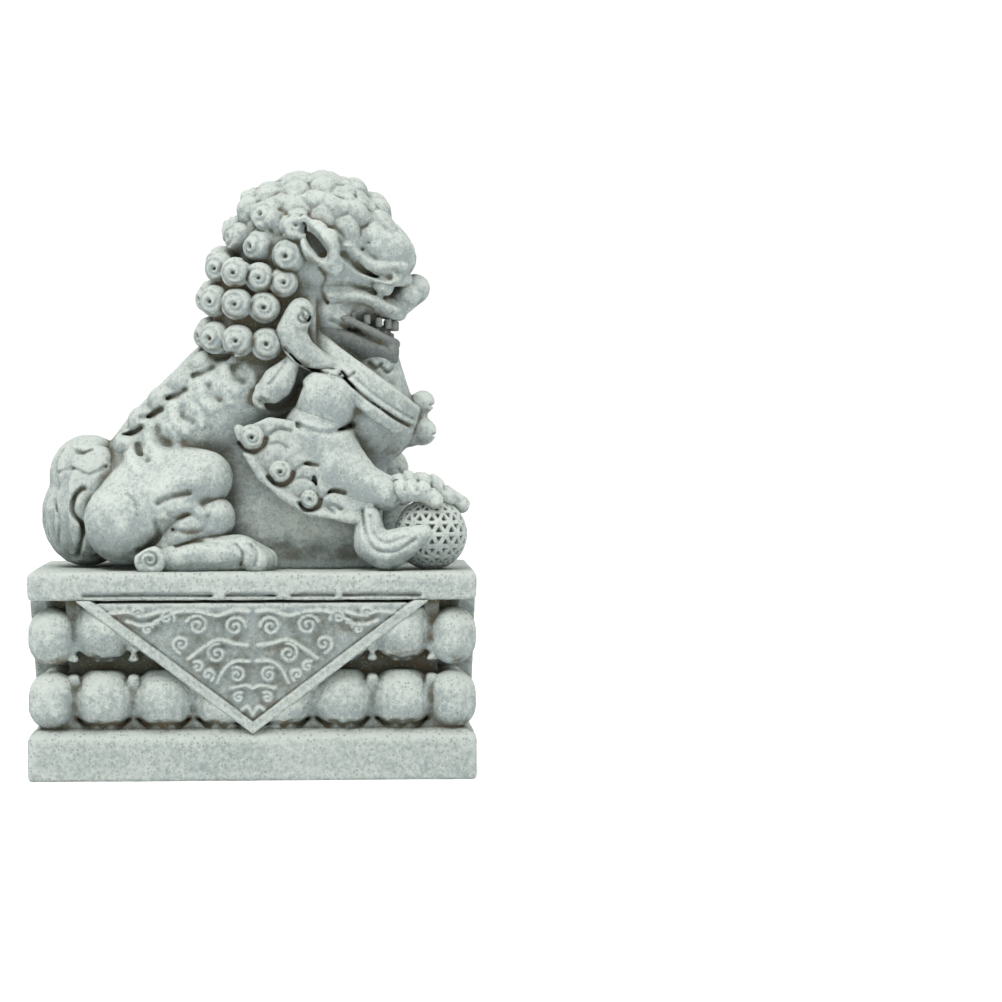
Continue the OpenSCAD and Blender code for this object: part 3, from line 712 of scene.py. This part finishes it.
# Face: the socket under the brow, the mouth and the folds of the cheek
flank.stroke(lion_line([(45, 157), (52, 151), (60, 147.2), (68, 145.6)]), 3.0, 2.8)
flank.stroke(lion_line([(47, 161), (55, 155.5), (65, 151.5), (76, 151.5)]), 3.0, -1.6)
flank.pit((54.4, 159.7 + slab_top), 1.6, 1.4)
flank.pit((57.5, 163 + slab_top), 1.3, 1.0)
flank.stroke(lion_line([(38, 136), (50, 136.8), (59, 135), (67, 131.6), (74, 130)]), 3.2, -1.3)
flank.stroke(lion_line([(37, 141), (46, 142), (56, 140.4), (66, 137)]), 1.8, 0.9)
flank.stroke(lion_line([(38, 124.5), (48, 120.5), (58, 115.5), (67, 111.5)]), 1.8, 1.0)
flank.stroke(lion_line([(33, 150), (36, 145), (34, 139), (37, 133)]), 1.5, 1.2)
flank.pit((84, 139.4 + slab_top), 1.8, 1.8)

# Ear hollow, the eye of the beard roll and the strap's edges
flank.stroke(lion_line([(25.5, 170), (29.5, 164), (34.5, 157.5)]), 5.2, 3.8)
flank.scroll((24.5, 125.5 + slab_top), 4.2, 1.2, 90, -1, 1.2, 1.8)
flank.stroke(lion_line([(24.5, 128), (25, 125.5), (27, 124)]), 1.5, 2.2)
flank.stroke(lion_line([(16, 110), (24, 102.5), (34, 98), (45, 95)]), 1.4, 1.5)
flank.stroke(lion_line([(45, 95.5), (54, 87), (63, 80.5), (72, 74.5), (80, 70.5)]), 1.3, 2.2)
flank.stroke(lion_line([(48, 97.5), (57, 89.5), (66, 83), (75, 77.5), (82, 74)]), 0.9, 0.8)
for x, z in ((40, 97.6), (47, 98.4), (61, 103), (67, 101)):
    flank.stroke(lion_line([(x - 3, z), (x, z - 2.6), (x + 3.2, z - 0.6)]), 1.4, 1.4)

# Ribbon, knuckles and claws of the paw on the ball
flank.stroke(lion_line([(54, 30), (55.5, 19), (60, 11), (70, 10), (80, 16)]), 1.5, 1.3)
flank.stroke(lion_line([(58, 27), (60, 18), (66, 14), (75, 17)]), 1.2, 0.9)
for x in (74, 80, 87, 94):
    flank.stroke(lion_line([(x, 48.5), (x + 1.6, 44.5), (x + 1, 39.5)]), 1.3, 1.2)

side_y = lion.grid.places(lion.grid.region(lion_low, lion_high))[1].ravel()
flank.press(lion, step_up(np.abs(side_y), 9.0, 15.0))

# Seen from behind: strands of the tail, parted down its middle
brush = Relief(lion.grid, 1)
for way in (-1, 1):
    for start, reach in ((3, 9), (9, 18), (15, 25)):
        brush.stroke(lion_line([
            (way * start, 58), (way * (start + reach) / 2, 44), (way * reach, 28), (way * (reach - 4), 6)
        ]), 2.4, 1.0)
    brush.scroll((way * 9, 20 + slab_top), 6, 1.6, 90, way, 1.3, 1.4)
behind_x = lion.grid.places(lion.grid.region(lion_low, lion_high))[0].ravel()
brush.press(lion, 1 - step_up(behind_x, -88.0, -78.0))

# The brow is split down its middle, and the bells have slits
front = Relief(lion.grid, 1)
front.stroke(lion_line([(0, 174), (0, 162), (0, 149)]), 1.6, 1.4)
for way in (-1, 1):
    front.scroll((way * 12, 162 + slab_top), 5.0, 1.4, 0, way, 1.2, 1.2)
    front.pit((way * 4.4, 139 + slab_top), 2.0, 2.4)
    front.stroke(lion_line([(way * 3, 147.5), (way * 9, 147), (way * 14, 149)]), 1.2, 1.0)
for z in (83, 68):
    front.stroke(lion_line([(-4, z - 1), (0, z - 1.6), (4, z - 1)]), 0.9, 1.6)
for toe in (-44.5, -34, 33.5, 40.5):
    front.stroke(lion_line([(toe, 14 if toe > 0 else 44), (toe, 3 if toe > 0 else 34)]), 1.3, 1.8)
front.press(lion, step_up(behind_x, 66.0, 72.0))

lion.solid += 0.30 * soft_noise(lion.grid, 7.0, 11) + 0.22 * soft_noise(lion.grid, 2.6, 12)
make_pieces(lion)

# ---- The ball ----

BALL_ROUND = 16          # triangles round its middle
LATTICE_W = 0.85         # half the width of a band
PIT_DEEP = 2.2

ball = Carving(Grid(BALL_AT - BALL_R - BAND, BALL_AT + BALL_R + BAND, BALL_STEP),
               [("brocade_ball", 1.0, 0)])
x, y, z = ball.grid.places(ball.grid.region(BALL_AT - BALL_R - BAND, BALL_AT + BALL_R + BAND))
x, y, z = x - BALL_AT[0], y - BALL_AT[1], z - BALL_AT[2]
side_of = 2 * math.pi * BALL_R / BALL_ROUND
level = side_of * math.sqrt(0.75)
turn = np.arctan2(y, x) * BALL_R / side_of
rise = np.arctan2(z, np.hypot(x, y)) * BALL_R / level
pit = np.full(ball.grid.shape, side_of, np.float32)
for family in (rise, turn - 0.5 * rise, turn + 0.5 * rise):
    pit = np.minimum(pit, np.abs(family - np.round(family)) * level)
ball.solid += PIT_DEEP * step_up(pit, LATTICE_W, LATTICE_W + 0.7)
ball.solid += 0.25 * fade(pit, 0.3)
make_pieces(ball)

# ---- The pedestal ----

PEDESTAL = [
    ("plinth", 2.0, 2), ("lotus_core", 2.0, 2),
    ("lower_petals", 2.0, 2, 1.2), ("upper_petals", 2.0, 2, 1.2),
    ("lower_ribs", 2.0, 1, 0.9), ("upper_ribs", 2.0, 1, 0.9), ("top_slab", 1.5, 2),
]
base_low = low_mm("plinth") - BAND
base_high = high_mm("top_slab") + BAND
pedestal = Carving(Grid(base_low, base_high, BASE_STEP), PEDESTAL)
ROWS = {node: (low_mm(node)[2], high_mm(node)[2]) for node in ("lower_petals", "upper_petals")}
CORNER = 22              # the corner petals take this much of each side
PETAL_EDGE = 2.6         # from a petal's outline to the groove inside it
# The curled lip at a petal's foot, as shares of its half width and heights above its foot
PETAL_LIP = [(-1, 4.6), (-0.62, 2.0), (-0.25, 2.6), (0, 1.6), (0.3, 2.7), (0.66, 2.0), (1, 4.6)]
# Slots under the slab's edge, as shares of the half width of the drape below
SLAB_SLOTS = [(-0.95, -0.23), (-0.15, 0.13), (0.22, 0.46), (0.51, 0.94)]


def petal_reliefs(across, count, half):
    """The curled lip and the inner outline of every petal of a side, and the slots of the slab."""
    relief = Relief(pedestal.grid, across)
    pitch = 2 * (half - CORNER) / count
    for z0, z1 in ROWS.values():
        for k in range(count):
            c = (k - (count - 1) / 2) * pitch
            w = 0.5 * pitch - 1.7
            lip = [(c + share * w, z0 + rise) for share, rise in PETAL_LIP]
            relief.stroke(lip, 1.9, 1.9)
            for way in (-1, 1):
                e = w - PETAL_EDGE
                relief.stroke([(c + way * e, z1 - 3), (c + way * (e + 0.4), 0.5 * (z0 + z1)),
                               (c + way * (e - 0.6), z0 + 6)], 0.9, 0.55)
    slot_z = low_mm("top_slab")[2] + 2.4
    reach = high_mm("drape_right")[0] if across == 0 else high_mm("drape_head_end")[1]
    for start, end in SLAB_SLOTS:
        middle = 0.5 * (start + end)
        slot = [(start * reach, slot_z), (middle * reach, slot_z + 0.3), (end * reach, slot_z)]
        relief.stroke(slot, 1.6, 2.2)
    return relief


whole = pedestal.grid.region(base_low, base_high)
along_x, along_y = [p.ravel() for p in pedestal.grid.places(whole)[:2]]
half_l, half_w = high_mm("plinth")[:2]
petal_reliefs(0, 6, half_l).press(pedestal, step_up(np.abs(along_y), half_w - 18, half_w - 14))
petal_reliefs(1, 3, half_w).press(pedestal, step_up(np.abs(along_x), half_l - 18, half_l - 14))
pedestal.solid += 0.28 * soft_noise(pedestal.grid, 6.0, 21) + 0.30 * soft_noise(pedestal.grid, 2.6, 22)
make_pieces(pedestal)

# ---- The drapes ----

BORDER = 4.6             # width of the raised border
FIELD_DEEP = 1.3         # how far the field lies below it
EDGE_DEEP = 0.7          # how much deeper it is along the border
STEM_W = 1.7             # half the width of a scroll's ridge
STEM_HIGH = 1.5          # how far a ridge stands above the field

# Scrolls of one half, as shares of the half width and of the height down from the top,
# with radius, turns, start and hand
SCROLLS = [
    (0.10, 0.20, 5.2, 1.5, 180, -1), (0.31, 0.19, 5.4, 1.6, 20, 1), (0.48, 0.13, 3.8, 1.3, 200, -1),
    (0.20, 0.40, 5.0, 1.5, 100, -1), (0.40, 0.33, 4.4, 1.4, 280, 1), (0.09, 0.56, 4.0, 1.4, 60, 1),
    (0.25, 0.56, 3.2, 1.2, 240, -1), (0.08, 0.73, 2.8, 1.2, 120, -1),
    (0.64, 0.10, 3.0, 1.2, 30, 1), (0.59, 0.22, 2.8, 1.1, 150, -1), (0.31, 0.50, 3.0, 1.1, 60, 1),
]
STEMS = [
    [(0.02, 0.09), (0.10, 0.08), (0.20, 0.12), (0.30, 0.09), (0.42, 0.09), (0.55, 0.16)],
    [(0.52, 0.09), (0.62, 0.12), (0.70, 0.09), (0.80, 0.10)],
    [(0.53, 0.17), (0.62, 0.19), (0.70, 0.16)],
    [(0.03, 0.34), (0.10, 0.33), (0.20, 0.30), (0.30, 0.38), (0.36, 0.44)],
    [(0.02, 0.46), (0.10, 0.46), (0.16, 0.52), (0.20, 0.62)],
    [(0.0, 0.66), (0.05, 0.64), (0.12, 0.66)],
    [(0.0, 0.86), (0.03, 0.80), (0.06, 0.82)],
]


def carve_drape(node, across):
    low, high = low_mm(node), high_mm(node)
    drape = Carving(Grid(low - BAND, high + BAND, DRAPE_STEP), [(node, 1.0, 1)])
    half, z0, z1 = high[across], low[2], high[2]
    relief = Relief(drape.grid, across)
    a = np.abs(relief.a)[:, None]
    z = relief.z[None, :]
    inside = ((z - z0) * half - a * (z1 - z0)) / math.hypot(half, z1 - z0)
    relief.cut = (FIELD_DEEP * step_up(inside, BORDER, BORDER + 0.8)).astype(np.float32)
    relief.cut += (EDGE_DEEP * fade(inside - BORDER - 0.5, 0.8)).astype(np.float32)
    small = min(1.0, half / 60)
    for way in (-1, 1):
        for u, v, r, turns, start, hand in SCROLLS:
            begin = start if way > 0 else 180 - start
            centre = (way * u * half, z1 - v * (z1 - z0))
            relief.scroll(centre, r * small, turns, begin, hand * way, STEM_W, -STEM_HIGH)
            relief.pit(centre, 1.0, 0.8)
        for stem in STEMS:
            relief.stroke([(way * u * half, z1 - v * (z1 - z0)) for u, v in stem], STEM_W, -STEM_HIGH)
    within = step_up(inside, BORDER - 0.2, BORDER + 1.0)
    relief.rise *= within
    relief.press(drape, np.ones(drape.grid.shape[1 - across], np.float32))
    drape.solid += 0.18 * soft_noise(drape.grid, 2.4, 31)
    make_pieces(drape)


carve_drape("drape_right", 0)
carve_drape("drape_left", 0)
carve_drape("drape_head_end", 1)
carve_drape("drape_tail_end", 1)

# ---- Camera, floor and lights ----

def look_at(thing, target):
    thing.rotation_euler = (Vector(target) - thing.location).to_track_quat("-Z", "Y").to_euler()


camera = bpy.data.objects.new("camera", bpy.data.cameras.new("camera"))
bpy.context.scene.collection.objects.link(camera)
bpy.context.scene.camera = camera
camera.location = (0.0326, -1.5825, 0.1862)
camera.data.lens = 111.4
camera.data.sensor_width = 36
look_at(camera, (0.1218, -0.0625, 0.1372))

FLOOR_GLOW = 0.42        # lifts the pale floor to the white of a lit cloth
floor_mesh = bpy.data.meshes.new("floor")
floor_mesh.from_pydata([(-4, -4, 0), (4, -4, 0), (4, 4, 0), (-4, 4, 0)], [], [(0, 1, 2, 3)])
floor = bpy.data.objects.new("floor", floor_mesh)
bpy.context.scene.collection.objects.link(floor)
floor_paint = bpy.data.materials.new("floor")
floor_paint.use_nodes = True
floor_shader = floor_paint.node_tree.nodes["Principled BSDF"]
floor_shader.inputs["Base Color"].default_value = (0.9, 0.9, 0.9, 1)
floor_shader.inputs["Emission Color"].default_value = (1, 1, 1, 1)
floor_shader.inputs["Emission Strength"].default_value = FLOOR_GLOW
floor_mesh.materials.append(floor_paint)
floor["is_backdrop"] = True


def area_light(name, place, size, power):
    light = bpy.data.objects.new(name, bpy.data.lights.new(name, "AREA"))
    bpy.context.scene.collection.objects.link(light)
    light.data.size = size
    light.data.energy = power
    light.location = place
    look_at(light, (0, 0, 0.15))


area_light("key", (-0.45, -0.70, 1.5), 0.8, 13)
area_light("fill", (1.2, -1.6, 0.5), 1.6, 2.5)

# A studio of white cloth: bright overhead and along the horizon, dimmer between
world = bpy.data.worlds.new("world")
bpy.context.scene.world = world
world.use_nodes = True
sky = Nodes(world.node_tree)
height = sky.add("ShaderNodeSeparateXYZ", Vector=sky.add("ShaderNodeTexCoord").outputs["Generated"])
overhead = sky.ramp(height.outputs["Z"], 0.40, 0.85, 0.12, 1.45)
horizon = sky.ramp(sky.math("ABSOLUTE", height.outputs["Z"], 0.0), 0.13, 0.20, 1.05, 0.0)
level = sky.math("MAXIMUM", overhead, horizon)
background = world.node_tree.nodes["Background"]
background.inputs["Color"].default_value = (1, 1, 1, 1)
world.node_tree.links.new(level, background.inputs["Strength"])
bpy.context.scene.view_settings.view_transform = "Standard"

low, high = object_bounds()
